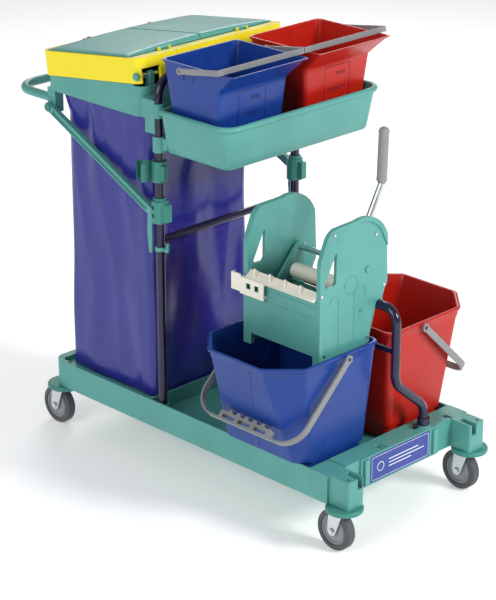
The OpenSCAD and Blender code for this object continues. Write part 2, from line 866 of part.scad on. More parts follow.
// Plan of a large bucket, with its outer corners cut off; the inner side lies at y0
module bucket_plan(x0, x1, y0, y1, cut, grow) {
    c = max(cut - 0.41 * grow, 0.5);
    polygon([[x0 + grow, y0 + grow], [x1 - grow, y0 + grow], [x1 - grow, y1 - c - grow],
        [x1 - c - grow, y1 - grow], [x0 + c + grow, y1 - grow], [x0 + grow, y1 - c - grow]]);
}

// Narrow foot in the bay and the body that flares out above the base wall
module bucket_solid(grow, z1) {
    translate([0, 0, bucket_z + grow]) linear_extrude(bucket_low - bucket_z + 1)
        bucket_plan(bucket_x0 + foot_in, bucket_x1 - foot_in, bucket_y0 + 24, bucket_y1 - foot_side,
            20, grow);
    hull() {
        translate([0, 0, bucket_low + grow]) linear_extrude(1)
            bucket_plan(bucket_x0 + bucket_in, bucket_x1 - bucket_in, bucket_y0 + 18,
                bucket_y1 - bucket_side, 30, grow);
        translate([0, 0, z1 - 1]) linear_extrude(1)
            bucket_plan(bucket_x0, bucket_x1, bucket_y0, bucket_y1, bucket_cut, grow);
    }
}

module bucket() {
    rim = 4;
    mid_x = (bucket_x0 + bucket_x1) / 2;
    placed() difference() {
        union() {
            bucket_solid(0, bucket_top);
            translate([0, 0, bucket_top - 7]) linear_extrude(7)
                bucket_plan(bucket_x0 - rim, bucket_x1 + rim, bucket_y0 - 2, bucket_y1 + rim, bucket_cut, 0);
            // bosses and pins that carry the bail
            for (s = [-1, 1]) translate([mid_x + s * (bucket_l / 2 - 2), bail_y, bail_z]) {
                translate([-5, -9, -9]) cube([10, 18, 18]);
                rotate([0, 90, 0]) cylinder(h = bail_w - bucket_l + 2 * bail_t + 4, d = bail_pin_d,
                    center = true);
            }
        }
        bucket_solid(bucket_t, bucket_top + 2);
    }
}

module bucket_blue() { color(blue) mirror([0, 1, 0]) bucket(); }
module bucket_red() { color(red) bucket(); }

// Flat shape of a large bail: a U with slotted grip and finger bumps
module bail_shape() {
    half = bail_w / 2 + bail_t;
    r = bail_corner;
    difference() {
        union() {
            difference() {
                union() {
                    translate([-half, 0]) square([2 * half, bail_l - r]);
                    translate([-half + r, 0]) square([2 * half - 2 * r, bail_l]);
                    for (s = [-1, 1]) translate([s * (half - r), bail_l - r]) circle(r = r);
                }
                union() {
                    translate([-half + bail_t, -20]) square([2 * half - 2 * bail_t, bail_l - r + 20]);
                    translate([-half + r, -20])
                        square([2 * half - 2 * r, bail_l + 20 - bail_t]);
                    for (s = [-1, 1]) translate([s * (half - r), bail_l - r]) circle(r = r - bail_t);
                }
            }
            translate([-80, bail_l - 22]) square([160, 22]);
            for (i = [-2:2]) translate([i * 26, bail_l - 22]) circle(r = 7);
        }
        for (i = [-1:1]) translate([i * 50 - 19, bail_l - 15]) square([38, 9]);
    }
}

module bucket_bail() {
    mid_x = (bucket_x0 + bucket_x1) / 2;
    half = bail_w / 2 + bail_t;
    placed() color(grip_grey) translate([mid_x, bail_y, bail_z]) rotate([-bail_hang, 0, 0])
        difference() {
            union() {
                translate([0, 0, -bail_h / 2]) linear_extrude(bail_h) bail_shape();
                for (s = [-1, 1]) translate([s * (half - bail_t / 2), 0, 0]) rotate([0, 90, 0])
                    cylinder(h = bail_t, d = bail_h + 4, center = true);
            }
            rotate([0, 90, 0]) cylinder(h = 900, r = bail_pin_d / 2 + run_fit, center = true);
        }
}

module bucket_bail_blue() { mirror([0, 1, 0]) bucket_bail(); }
module bucket_bail_red() { bucket_bail(); }

// ---- lid ring ----

module ring_box(x0, x1, y, z0, z1, r) {
    translate([0, 0, z0]) linear_extrude(z1 - z0) slab(x0, x1, -y, y, r);
}

module lid_ring() {
    ledge = 5;
    hollow_x1 = ring_front - ring_t;
    placed() color(yellow) ring_frame() difference() {
        ring_box(-ring_back, ring_front, ring_y, ring_low, ring_top, 26);
        // open middle under the lids
        ring_box(-ring_back + ring_t + ledge, ring_front - strip_l - ledge, ring_y - ring_t - ledge,
            ring_low - 1, ring_top + 1, 18);
        ring_box(-ring_back + ring_t, ring_front - strip_l, ring_y - ring_t, ring_top - lid_t - 0.5,
            ring_top + 1, 2);
        ring_box(-ring_back + ring_t, hollow_x1, ring_y - ring_t, ring_low - 1, ring_top - lid_t - 6, 18);
        // windows in the front wall at the hinge lugs
        both_sides() block([-10, 176, ring_low - 1], [ring_front + 1, 229, 18]);
        rotate([90, 0, 0]) cylinder(h = 700, r = rod_d / 2 + run_fit, center = true);
        // notches for the lid knuckles
        for (s = [-1, 1]) block([ring_front - strip_l - 1, s * knuckle_y - knuckle_w / 2, ring_top - 9],
            [ring_front - strip_l + 8, s * knuckle_y + knuckle_w / 2, ring_top + 1]);
    }
    // pins of the lid knuckles with their small ears
    placed() color(yellow) ring_frame() for (s = [-1, 1]) translate([lid_x1, s * knuckle_y, lid_axis_z])
        rotate([90, 0, 0]) {
            cylinder(h = knuckle_w + 8, d = lid_pin_d, center = true);
            for (e = [-1, 1]) translate([0, 0, e * (knuckle_w / 2 + 2)]) {
                cylinder(h = 4, d = 7, center = true);
                translate([0, -5, -2]) cube([6, 8, 4]);
            }
        }
}

module lid_half(side) {
    y0 = 0.6;
    y1 = ring_y - ring_t - 1;
    w = knuckle_w - 1;
    placed() color(leaf) ring_frame() mirror([0, side < 0 ? 1 : 0, 0]) difference() {
        union() {
            translate([0, 0, ring_top - lid_t]) linear_extrude(lid_t - 0.5)
                translate([lid_x0, y0]) square([lid_x1 - lid_x0 - 0.6, y1 - y0]);
            translate([lid_x1, knuckle_y, lid_axis_z]) rotate([90, 0, 0])
                cylinder(h = w, d = 7, center = true);
            translate([lid_x1 - 7, knuckle_y - w / 2, ring_top - lid_t])
                cube([6.4, w, lid_axis_z - ring_top + lid_t]);
            // stiffening rib below
            translate([lid_x0 + 20, y0 + 20, ring_top - lid_t - 5]) cube([lid_x1 - lid_x0 - 60, 4, 5]);
            translate([lid_x0 + 20, y1 - 34, ring_top - lid_t - 5]) cube([lid_x1 - lid_x0 - 60, 4, 5]);
        }
        translate([lid_x1, knuckle_y, lid_axis_z]) rotate([90, 0, 0])
            cylinder(h = 60, r = lid_pin_d / 2 + run_fit, center = true);
    }
}

module lid_left() { lid_half(1); }
module lid_right() { lid_half(-1); }

module catch(side) {
    placed() color("#a03038") ring_frame() translate([lid_x0, side * 100, ring_top - 0.5]) {
        translate([2, -8, 0]) cube([14, 16, 3]);
        translate([9, 0, 3]) cylinder(h = 5, d = 10);
        translate([-11, -5, 0.8]) cube([13, 10, 2.2]);
    }
}

module catch_left() { catch(1); }
module catch_right() { catch(-1); }

// ---- waste bag ----

module bag_prism(grow) {
    x0 = holder_x0 + 30 + grow;
    x1 = platform_x1 - 8 - grow;
    y = holder_y - holder_t - 1.2 - grow;
    z0 = recess_z + seat_gap + grow;
    z1 = holder_z + 24 + (grow > 0 ? 5 : 0);
    far = 122 - grow;
    translate([x0, 0, 0]) rotate([90, 0, 90]) linear_extrude(x1 - x0)
        polygon([[-y, z1], [-y + 3, z0 + 60], [-y + 8, z0], [far, z0], [far, 700], [y, holder_z - 20],
            [y, z1]]);
}

module waste_bag() {
    x0 = holder_x0 + holder_t + clear;
    x1 = holder_x1 - holder_t - clear;
    y = holder_y - holder_t - clear;
    placed() color("#4a4fa8") difference() {
        union() {
            intersection() {
                bag_prism(0);
                union() {
                    block([-900, -400, 0], [900, 400, holder_z - 12]);
                    linear_extrude(holder_z + 100) slab(x0, x1, -y, y, 23);
                }
            }
            // hem held inside the holder
            difference() {
                translate([0, 0, holder_z + 4]) linear_extrude(20) slab(x0, x1, -y, y, 23);
                translate([0, 0, holder_z]) linear_extrude(60) slab(x0 + 8, x1 - 8, -y + 8, y - 8, 18);
            }
            // skirt from the hem to the rear wall of the bag
            block([x0, -handle_y + 18, holder_z + 2], [x0 + 40, handle_y - 18, holder_z + 6]);
        }
        bag_prism(bag_t);
    }
}

// ---- wringer ----

// Outline of a wringer cheek in the YZ plane
function cheek_points() = concat(
    [[wr_front, wr_low]],
    arc([wr_front + 60, 655], 60, 180, 165, 2),
    arc([-142, 696], 42, 165, 105, 6),
    arc([-62, 652], 90, 105, 20, 8),
    arc([6, 570], 22, 0, -50, 4),
    [[11.4, 530], [11.4, bridge_z]],
    arc([0, bridge_z], bridge_d / 2 + clear, 0, 180, 10),
    [[-12, 505], [wr_back, 450], [wr_back, wr_low]]);

module cheek(x) {
    translate([x, 0, 0]) rotate([90, 0, 90]) linear_extrude(cheek_t) difference() {
        polygon(cheek_points());
        polygon([[-148, 676], [-182, 610], [-178, 602], [-150, 602], [-145, 608], [-144, 676]]);
    }
}

// Raised edge along the front and top of a cheek
module cheek_edge(x, w) {
    translate([x, 0, 0]) rotate([90, 0, 90]) linear_extrude(w) difference() {
        polygon(cheek_points());
        translate([-6, 0]) polygon(concat(
            [[wr_front + 16, 0]],
            arc([wr_front + 76, 655], 60, 180, 165, 2),
            arc([-136, 690], 40, 165, 105, 6),
            arc([-62, 646], 86, 105, 20, 8), [[80, 560], [80, 0]]));
    }
}

module wringer_cheeks() {
    shaft_hole = shaft_d / 2 + run_fit;
    placed() color(leaf) difference() {
        union() {
            cheek(wr_x0);
            cheek(wr_x1 - cheek_t);
            cheek_edge(wr_x0 - 6, 6);
            cheek_edge(wr_x1, 3);
            // keepers beside the bridge tube
            for (x = [wr_x0, wr_x1 - cheek_t])
                block([x, bridge_d / 2 + clear, bridge_z - keeper_drop],
                    [x + cheek_t, bridge_d / 2 + clear + keeper_t, bridge_z + 40]);
        }
        translate([0, shaft_y, shaft_z]) rotate([0, 90, 0]) cylinder(h = 900, r = shaft_hole);
        translate([0, roller_y - 2, lower_z]) rotate([0, 90, 0])
            cylinder(h = 900, r = roller_pin_d / 2 + run_fit);
    }
}

module drain_body() {
    x0 = wr_x0 + cheek_t + 0.1;
    x1 = wr_x1 - cheek_t - 0.1;
    placed() color(leaf) difference() {
        union() {
            block([x0, wr_front, 440], [x1, wr_front + 5, 574]);
            block([x0, wr_back - 5, 440], [x1, wr_back, 500]);
            block([x0, wr_front, 440], [x1, wr_back, 445]);
            // four legs
            for (x = [x0, x1 - 10]) for (y = [wr_front, wr_back - 12])
                block([x, y, wr_low], [x + 10, y + 12, 441]);
            // front edge that carries the comb
            block([x0, wr_front, 566], [x1, wr_front + 14, 574]);
        }
        for (i = [0:6]) for (j = [0:3])
            translate([x0 + 28 + i * 26, wr_front + 34 + j * 34, 430]) cylinder(h = 30, d = 9, $fn = 16);
    }
}

module guide_comb() {
    x0 = wr_x0 + cheek_t + 0.3;
    x1 = wr_x1 - cheek_t - 0.3;
    placed() color(cream) {
        difference() {
            union() {
                // inclined plate
                translate([x0, wr_front - 8, 574.2]) rotate([36, 0, 0]) cube([x1 - x0, 26, 4]);
                // fins
                for (i = [0:3]) translate([x0 + 24 + i * 48, wr_front - 8, 574.2]) rotate([90, 0, 90])
                    linear_extrude(4) polygon([[2, 2], [22, 16], [4, 30]]);
                // plate with windows at the far corner
                block([wr_x0 - 6, wr_front - 12, 536], [wr_x0 + 70, wr_front - 9, 576]);
                block([wr_x0 - 6, wr_front - 12, 572], [wr_x0 + 70, wr_front - 2, 577]);
                block([wr_x0 - 34, wr_front - 12, 540], [wr_x0 - 6, wr_front - 8, 582]);
                block([wr_x0 - 34, wr_front - 12, 540], [wr_x0 - 30, wr_front + 12, 582]);
            }
            for (x = [14, 40]) block([wr_x0 + x, wr_front - 20, 552], [wr_x0 + x + 14, wr_front, 566]);
            block([0, wr_front, 0], [x0 - 0.2, 400, 1000]);
            block([0, wr_front - 0.1, 0], [900, 400, 574.1]);
        }
        block([x0, wr_front - 9, 540], [x0 + 60, wr_front - 0.1, 546]);
    }
}

module wringer_screws() {
    // y, z and height of the seat above the face of the cheek
    heads = [[-152, 722, 0], [-14, 690, 0], [wr_front + 5, 588, 3], [16, 560, 0],
        [wr_front + 18, 440, 0], [wr_back - 8, 446, 0]];
    placed() color(zinc) for (h = heads) translate([wr_x1 + h[2], h[0], h[1]])
        rotate([0, 90, 0]) cylinder(h = 2, d = 7);
}

module press_lever() {
    x_far = wr_x0 - 2;
    placed() translate([0, shaft_y, shaft_z]) {
        color(leaf) translate([x_far, 0, 0]) rotate([0, 90, 0]) cylinder(h = wringer_l + 4, d = shaft_d);
        // press arms that carry the roller
        color(leaf_dark) for (x = [roller_x0 - arm_t - 1, roller_x1 + 1]) difference() {
            translate([x, 0, 0]) rotate([90, 0, 90]) linear_extrude(arm_t) {
                circle(r = 15);
                polygon([[-12, 9], [-76, -60], [-70, -76], [-52, -72], [4, -60], [14, -4]]);
            }
            translate([x - 1, roller_y - shaft_y, roller_z - shaft_z]) rotate([0, 90, 0])
                cylinder(h = arm_t + 2, r = roller_pin_d / 2 + run_fit);
        }
        color(zinc) {
            translate([lever_x - 9, 0, 0]) rotate([0, 90, 0]) cylinder(h = 18, r = 13);
            bar([lever_x, 0, 0], [lever_x, knee[0], knee[1]], lever_d);
            translate([lever_x, knee[0], knee[1]]) sphere(d = lever_d + 1);
            bar([lever_x, knee[0], knee[1]], [lever_x, elbow[0], elbow[1]], lever_d);
            translate([lever_x, elbow[0], elbow[1]]) sphere(d = lever_d + 1);
            bar([lever_x, elbow[0], elbow[1]], [lever_x, elbow[0] + 4, lever_h - 10], lever_d);
        }
    }
}

module lever_grip() {
    low = [lever_x, elbow[0] + 0.4, elbow[1] + 12];
    high = [lever_x, elbow[0] + 4.2, lever_h];
    placed() color(grip_grey) translate([0, shaft_y, shaft_z]) difference() {
        union() {
            bar(low, high, grip_d);
            translate(high) sphere(d = grip_d + 1);
            translate(low) sphere(d = grip_d + 1);
        }
        bar([lever_x, elbow[0], elbow[1]], [lever_x, elbow[0] + 4, lever_h - 9.9], lever_d);
        translate([lever_x, elbow[0], elbow[1]]) sphere(d = lever_d + 1.2);
        bar([lever_x, knee[0], knee[1]], [lever_x, elbow[0], elbow[1]], lever_d + 0.2);
    }
}

module press_roller() {
    placed() translate([roller_x0, roller_y, roller_z]) rotate([0, 90, 0]) {
        color(cream) cylinder(h = roller_x1 - roller_x0, d = roller_d);
        color(zinc) translate([0, 0, -arm_t - 1])
            cylinder(h = roller_x1 - roller_x0 + 2 * arm_t + 2, d = roller_pin_d);
    }
}

module lower_roller() {
    ribs = 12;
    placed() color(leaf_dark) translate([0, roller_y - 2, lower_z]) rotate([0, 90, 0]) {
        translate([0, 0, wr_x0 - 1]) cylinder(h = wringer_l + 2, d = roller_pin_d);
        translate([0, 0, roller_x0 - 8]) {
            cylinder(h = roller_x1 - roller_x0 + 16, d = lower_d - 7);
            for (i = [0:ribs - 1]) rotate([0, 0, i * 360 / ribs]) translate([0, -2, 0])
                cube([lower_d / 2 - 0.5, 4, roller_x1 - roller_x0 + 16]);
        }
    }
}

base_tray();
front_beam();
front_plate();
bumper_discs();
post_sockets();
post_frame();
crossbar();
coat_hook();
bridge_tube();
bridge_brace();
bridge_foot();
holder_frame();
frame_sockets();
hinge_rod();
push_handle();
brace_left();
brace_right();
brace_collars();
brace_bolts();
tool_clips();
upper_tray();
tray_brackets();
waste_bag();
fork_fl();
fork_fr();
fork_rl();
fork_rr();
tyre_fl();
tyre_fr();
tyre_rl();
tyre_rr();
hub_fl();
hub_fr();
hub_rl();
hub_rr();
axles_fl();
axles_fr();
axles_rl();
axles_rr();
lid_ring();
lid_left();
lid_right();
catch_left();
catch_right();
pail_blue();
pail_red();
pail_bail_blue();
pail_bail_red();
bucket_blue();
bucket_red();
bucket_bail_blue();
bucket_bail_red();
wringer_cheeks();
drain_body();
guide_comb();
wringer_screws();
press_lever();
lever_grip();
press_roller();
lower_roller();
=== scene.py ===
"""Looks of the cleaning trolley.

Materials for every CAD node; finer meshes for the bag, buckets, pails, tray, lids and press arms; raised
lines and plain marks on the wringer, the blue bucket and the front plate; floor, lights and camera.
"""
import json
import math

import bpy
from mathutils import Matrix, Vector


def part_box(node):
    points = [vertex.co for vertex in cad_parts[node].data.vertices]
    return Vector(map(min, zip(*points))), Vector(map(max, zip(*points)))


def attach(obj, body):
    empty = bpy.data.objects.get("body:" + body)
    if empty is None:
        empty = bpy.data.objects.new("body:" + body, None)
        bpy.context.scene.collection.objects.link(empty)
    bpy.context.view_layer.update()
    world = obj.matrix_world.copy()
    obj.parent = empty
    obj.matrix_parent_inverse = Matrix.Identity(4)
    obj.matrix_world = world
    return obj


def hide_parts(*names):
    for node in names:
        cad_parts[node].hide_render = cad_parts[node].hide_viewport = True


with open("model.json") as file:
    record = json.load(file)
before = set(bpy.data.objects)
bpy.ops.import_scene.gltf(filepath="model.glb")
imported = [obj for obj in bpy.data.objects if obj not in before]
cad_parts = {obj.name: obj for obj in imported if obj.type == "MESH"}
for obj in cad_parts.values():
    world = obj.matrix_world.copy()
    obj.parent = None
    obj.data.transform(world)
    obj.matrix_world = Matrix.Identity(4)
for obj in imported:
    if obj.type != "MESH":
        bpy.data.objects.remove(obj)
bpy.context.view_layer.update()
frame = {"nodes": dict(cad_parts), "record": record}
bpy.context.scene.view_settings.view_transform = "Standard"
MM = 0.001
MIX_INPUTS = (0, 6, 7)  # factor and the two colours, among a mix node's sockets
MIX_OUTPUT = 2


# ---- material helpers ----

def node(tree, kind, **values):
    """A new shader node with its properties set."""
    made = tree.nodes.new(kind)
    for key, value in values.items():
        setattr(made, key, value)
    return made


def fill(tree, made, **sockets):
    """Sets sockets by name, with _ for a space; a socket given as a value is linked."""
    for key, value in sockets.items():
        socket = made.inputs[key.replace("_", " ")]
        if isinstance(value, bpy.types.NodeSocket):
            tree.links.new(value, socket)
        else:
            socket.default_value = value
    return made


def ramp(tree, value, low, high, to_low=0.0, to_high=1.0):
    """A value mapped from one range to another and kept inside it."""
    made = node(tree, "ShaderNodeMapRange")
    fill(tree, made, Value=value, From_Min=low, From_Max=high, To_Min=to_low, To_Max=to_high)
    return made.outputs["Result"]


def noise(tree, scale, detail=3.0, stretch=(1, 1, 1), rough=0.5):
    """Noise from 0 to 1 over the object's own coordinates."""
    place = node(tree, "ShaderNodeTexCoord")
    mapping = fill(tree, node(tree, "ShaderNodeMapping"), Vector=place.outputs["Object"], Scale=stretch)
    made = fill(tree, node(tree, "ShaderNodeTexNoise"), Vector=mapping.outputs["Vector"], Scale=scale,
                Detail=detail, Roughness=rough)
    return made.outputs["Fac"]


def mix(tree, factor, first, second):
    """Two colours mixed by a factor; each may be a value or a socket."""
    made = node(tree, "ShaderNodeMix", data_type="RGBA")
    for index, value in zip(MIX_INPUTS, (factor, first, second)):
        if isinstance(value, bpy.types.NodeSocket):
            tree.links.new(value, made.inputs[index])
        else:
            made.inputs[index].default_value = value
    return made.outputs[MIX_OUTPUT]


def shade(colour, factor):
    """The colour, lighter or darker by a factor, as RGBA."""
    return tuple(min(1.0, c * factor) for c in colour) + (1.0,)


def edge_mask(tree, radius):
    """1 on convex and concave edges, 0 on flats."""
    bevel = node(tree, "ShaderNodeBevel", samples=4)
    bevel.inputs["Radius"].default_value = radius
    plain = node(tree, "ShaderNodeNewGeometry")
    dot = node(tree, "ShaderNodeVectorMath", operation="DOT_PRODUCT")
    tree.links.new(bevel.outputs["Normal"], dot.inputs[0])
    tree.links.new(plain.outputs["Normal"], dot.inputs[1])
    flat, turned = 0.995, 0.85
    return ramp(tree, dot.outputs["Value"], flat, turned), bevel.outputs["Normal"]


def surface(name, colour, rough=0.4, grain=(700, 0.12), mottle=0.06, wear=0.18, radius=1.2, metallic=0.0,
            coat=0.0, stretch=(1, 1, 1), scuff=0.04):
    """Moulded, painted or plated surface with mottling, fine grain, rounded worn edges and light scuffs."""
    material = bpy.data.materials.new(name)
    material.use_nodes = True
    tree = material.node_tree
    tree.nodes.clear()
    out = node(tree, "ShaderNodeOutputMaterial")
    shader = node(tree, "ShaderNodeBsdfPrincipled")
    tree.links.new(shader.outputs[0], out.inputs[0])
    worn, normal = edge_mask(tree, radius * MM)
    clouds = ramp(tree, noise(tree, 9, 4), 0.35, 0.65)
    body = mix(tree, clouds, shade(colour, 1 - mottle), shade(colour, 1 + mottle))
    patchy = ramp(tree, noise(tree, 60, 5), 0.42, 0.62)
    rub = node(tree, "ShaderNodeMath", operation="MULTIPLY")
    tree.links.new(worn, rub.inputs[0])
    tree.links.new(patchy, rub.inputs[1])
    rub_amount = ramp(tree, rub.outputs[0], 0, 1, 0, wear)
    pale = tuple(0.55 * c + 0.42 for c in colour)
    body = mix(tree, rub_amount, body, shade(pale, 1))
    marks = ramp(tree, noise(tree, 38, 8, (1, 1, 0.25), 0.7), 0.63, 0.74, 0, scuff)
    body = mix(tree, marks, body, shade(colour, 0.72))
    texture = noise(tree, grain[0], 2, stretch)
    bump = fill(tree, node(tree, "ShaderNodeBump"), Strength=grain[1], Distance=0.4 * MM, Height=texture,
                Normal=normal)
    uneven = ramp(tree, noise(tree, 30, 5), 0.3, 0.7, rough - 0.07, rough + 0.08)
    fill(tree, shader, Base_Color=body, Roughness=uneven, Metallic=metallic, Normal=bump.outputs["Normal"],
         Coat_Weight=coat, Coat_Roughness=0.12, Specular_IOR_Level=0.30)
    return material


def film():
    """Thin glossy bag film: tight crinkles that run down the folds, and a slight glow through it."""
    colour = (0.024, 0.027, 0.24)
    material = surface("bag_film", colour, rough=0.24, grain=(1500, 0.03), mottle=0.05, wear=0, scuff=0)
    tree = material.node_tree
    shader = next(n for n in tree.nodes if n.type == "BSDF_PRINCIPLED")
    old = shader.inputs["Normal"].links[0].from_socket
    creases = noise(tree, 11, 3, (1, 1, 0.2), 0.5)
    first = fill(tree, node(tree, "ShaderNodeBump"), Strength=0.3, Distance=6 * MM, Height=creases,
                 Normal=old)
    small = noise(tree, 70, 3, (1, 1, 0.5), 0.5)
    second = fill(tree, node(tree, "ShaderNodeBump"), Strength=0.12, Distance=1.2 * MM, Height=small,
                  Normal=first.outputs["Normal"])
    fill(tree, shader, Normal=second.outputs["Normal"], Specular_IOR_Level=0.5, Subsurface_Weight=0.12,
         Subsurface_Radius=(4 * MM,) * 3)
    return material


LEAF = (0.092, 0.33, 0.295)
MATERIALS = {
    "leaf_plastic": surface("leaf_plastic", LEAF, 0.36, (420, 0.12), radius=1.6, coat=0.08),
    "leaf_dark_plastic": surface("leaf_dark_plastic", (0.05, 0.24, 0.2), 0.4, (420, 0.14)),
    "tube_coat": surface("tube_coat", (0.01, 0.006, 0.035), 0.22, (900, 0.03), wear=0.04, coat=0.45,
                         scuff=0.03),
    "zinc": surface("zinc", (0.66, 0.67, 0.68), 0.28, (600, 0.08), metallic=1.0, stretch=(1, 1, 4),
                    radius=0.6),
    "yellow_plastic": surface("yellow_plastic", (0.9, 0.74, 0.02), 0.32, (420, 0.08), mottle=0.02, scuff=0.03,
                              wear=0.08, radius=3.0, coat=0.1),
    "pail_blue_plastic": surface("pail_blue_plastic", (0.008, 0.042, 0.25), 0.32, (500, 0.08), coat=0.12,
                                 wear=0.1),
    "bucket_blue_plastic": surface("bucket_blue_plastic", (0.010, 0.045, 0.25), 0.32, (420, 0.1), coat=0.1,
                                   wear=0.12),
    "red_plastic": surface("red_plastic", (0.46, 0.013, 0.006), 0.34, (420, 0.08), mottle=0.04, coat=0.08,
                           wear=0.12),
    "catch_plastic": surface("catch_plastic", (0.42, 0.02, 0.035), 0.35, (500, 0.1), radius=0.6),
    "grey_plastic": surface("grey_plastic", (0.235, 0.24, 0.245), 0.34, (420, 0.12), mottle=0.04, coat=0.15),
    "cream_plastic": surface("cream_plastic", (0.84, 0.81, 0.7), 0.38, (420, 0.1), mottle=0.03, radius=0.8),
    "plate_blue": surface("plate_blue", (0.025, 0.05, 0.28), 0.25, (900, 0.03), coat=0.2, scuff=0.03),
    "plate_white": surface("plate_white", (0.87, 0.88, 0.89), 0.3, (900, 0.03), scuff=0.04),
    "tyre_rubber": surface("tyre_rubber", (0.085, 0.088, 0.095), 0.55, (300, 0.3), mottle=0.15, wear=0.3),
    "hub_plastic": surface("hub_plastic", (0.26, 0.27, 0.28), 0.4, (420, 0.14)),
    "bag_film": film(),
}
slot_of = {row["node"]: row["material_slot"] for row in frame["record"]["subparts"]}
for name, cad in frame["nodes"].items():
    cad.data.materials.clear()
    cad.data.materials.append(MATERIALS[slot_of[name]])


# ---- mesh helpers ----

def piece(name, vertices, faces, slot, body, replaces=(), smooth=35):
    """A visible piece made of vertices and faces."""
    mesh = bpy.data.meshes.new(name)
    mesh.from_pydata([tuple(v) for v in vertices], [], faces)
    mesh.validate()
    return dress(name, mesh, slot, body, replaces, smooth)


def dress(name, mesh, slot, body, replaces=(), smooth=35):
    """Makes a piece of a mesh: its material, shading and body; it hides the nodes it stands for.

    plate_white is a look of this file alone and no slot of the record.
    """
    made = bpy.data.objects.new(name, mesh)
    bpy.context.scene.collection.objects.link(made)
    mesh.materials.clear()
    mesh.materials.append(MATERIALS[slot])
    for polygon in mesh.polygons:
        polygon.use_smooth = True
    mesh.set_sharp_from_angle(angle=math.radians(smooth))
    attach(made, body)
    if replaces:
        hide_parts(*replaces)
    return made


def rounded(corners, steps=5):
    """Closed outline through corners given as (x, y, radius), each turned into an arc of steps pieces."""
    points = []
    count = len(corners)
    for i, (x, y, radius) in enumerate(corners):
        here = Vector((x, y))
        before = (Vector(corners[i - 1][:2]) - here).normalized()
        after = (Vector(corners[(i + 1) % count][:2]) - here).normalized()
        half = before.angle(after) / 2
        reach = radius / math.tan(half)
        middle = here + (before + after).normalized() * radius / math.sin(half)
        start = here + before * reach - middle
        end = here + after * reach - middle
        sweep = start.angle(end)
        side = 1 if start.cross(end) > 0 else -1
        for k in range(steps + 1):
            turn = Matrix.Rotation(side * sweep * k / steps, 2)
            points.append(middle + turn @ start)
    return points


def loft(rings, capped=(True, True)):
    """Vertices and faces of a skin through rings, each a list of points; the ends are capped by a fan."""
    count = len(rings[0])
    vertices = [Vector(p) for ring in rings for p in ring]
    faces = []
    for r in range(len(rings) - 1):
        for i in range(count):
            j = (i + 1) % count
            faces.append((r * count + i, r * count + j, (r + 1) * count + j, (r + 1) * count + i))
    for end, wanted in zip((0, len(rings) - 1), capped):
        if not wanted:
            continue
        centre = sum((Vector(p) for p in rings[end]), Vector()) / count
        vertices.append(centre)
        tip = len(vertices) - 1
        for i in range(count):
            j = (i + 1) % count
            a, b = end * count + i, end * count + j
            faces.append((tip, b, a) if end == 0 else (tip, a, b))
    return vertices, faces


def from_curve(name, data, slot, body):
    """A piece with the mesh that a curve's data gives."""
    holder = bpy.data.objects.new(name + "_path", data)
    bpy.context.scene.collection.objects.link(holder)
    bpy.context.view_layer.update()
    mesh = bpy.data.meshes.new_from_object(holder.evaluated_get(bpy.context.evaluated_depsgraph_get()))
    bpy.data.objects.remove(holder)
    return dress(name, mesh, slot, body, smooth=40)


def beads(name, paths, radius, slot, body, closed=False):
    """Round beads or tubes of one radius along each path of points."""
    data = bpy.data.curves.new(name, "CURVE")
    data.dimensions = "3D"
    data.bevel_depth = radius
    data.bevel_resolution = 3
    data.use_fill_caps = True
    for path in paths:
        spline = data.splines.new("POLY")
        spline.points.add(len(path) - 1)
        for point, place in zip(spline.points, path):
            point.co = (*place, 1)
        spline.use_cyclic_u = closed
    return from_curve(name, data, slot, body)


def arc(centre, radius, start, end, steps=10):
    """Points of an arc in the plane, from one angle in degrees to another."""
    angles = [math.radians(start + (end - start) * i / steps) for i in range(steps + 1)]
    return [(centre[0] + radius * math.cos(a), centre[1] + radius * math.sin(a)) for a in angles]


def edge_rise(distance, radius):
    """0 at an edge, rising on a quarter circle to 1 at the given distance from it."""
    left = 1 - min(1.0, max(0.0, distance / radius))
    return math.sqrt(1 - left * left)


# ---- the waste bag ----


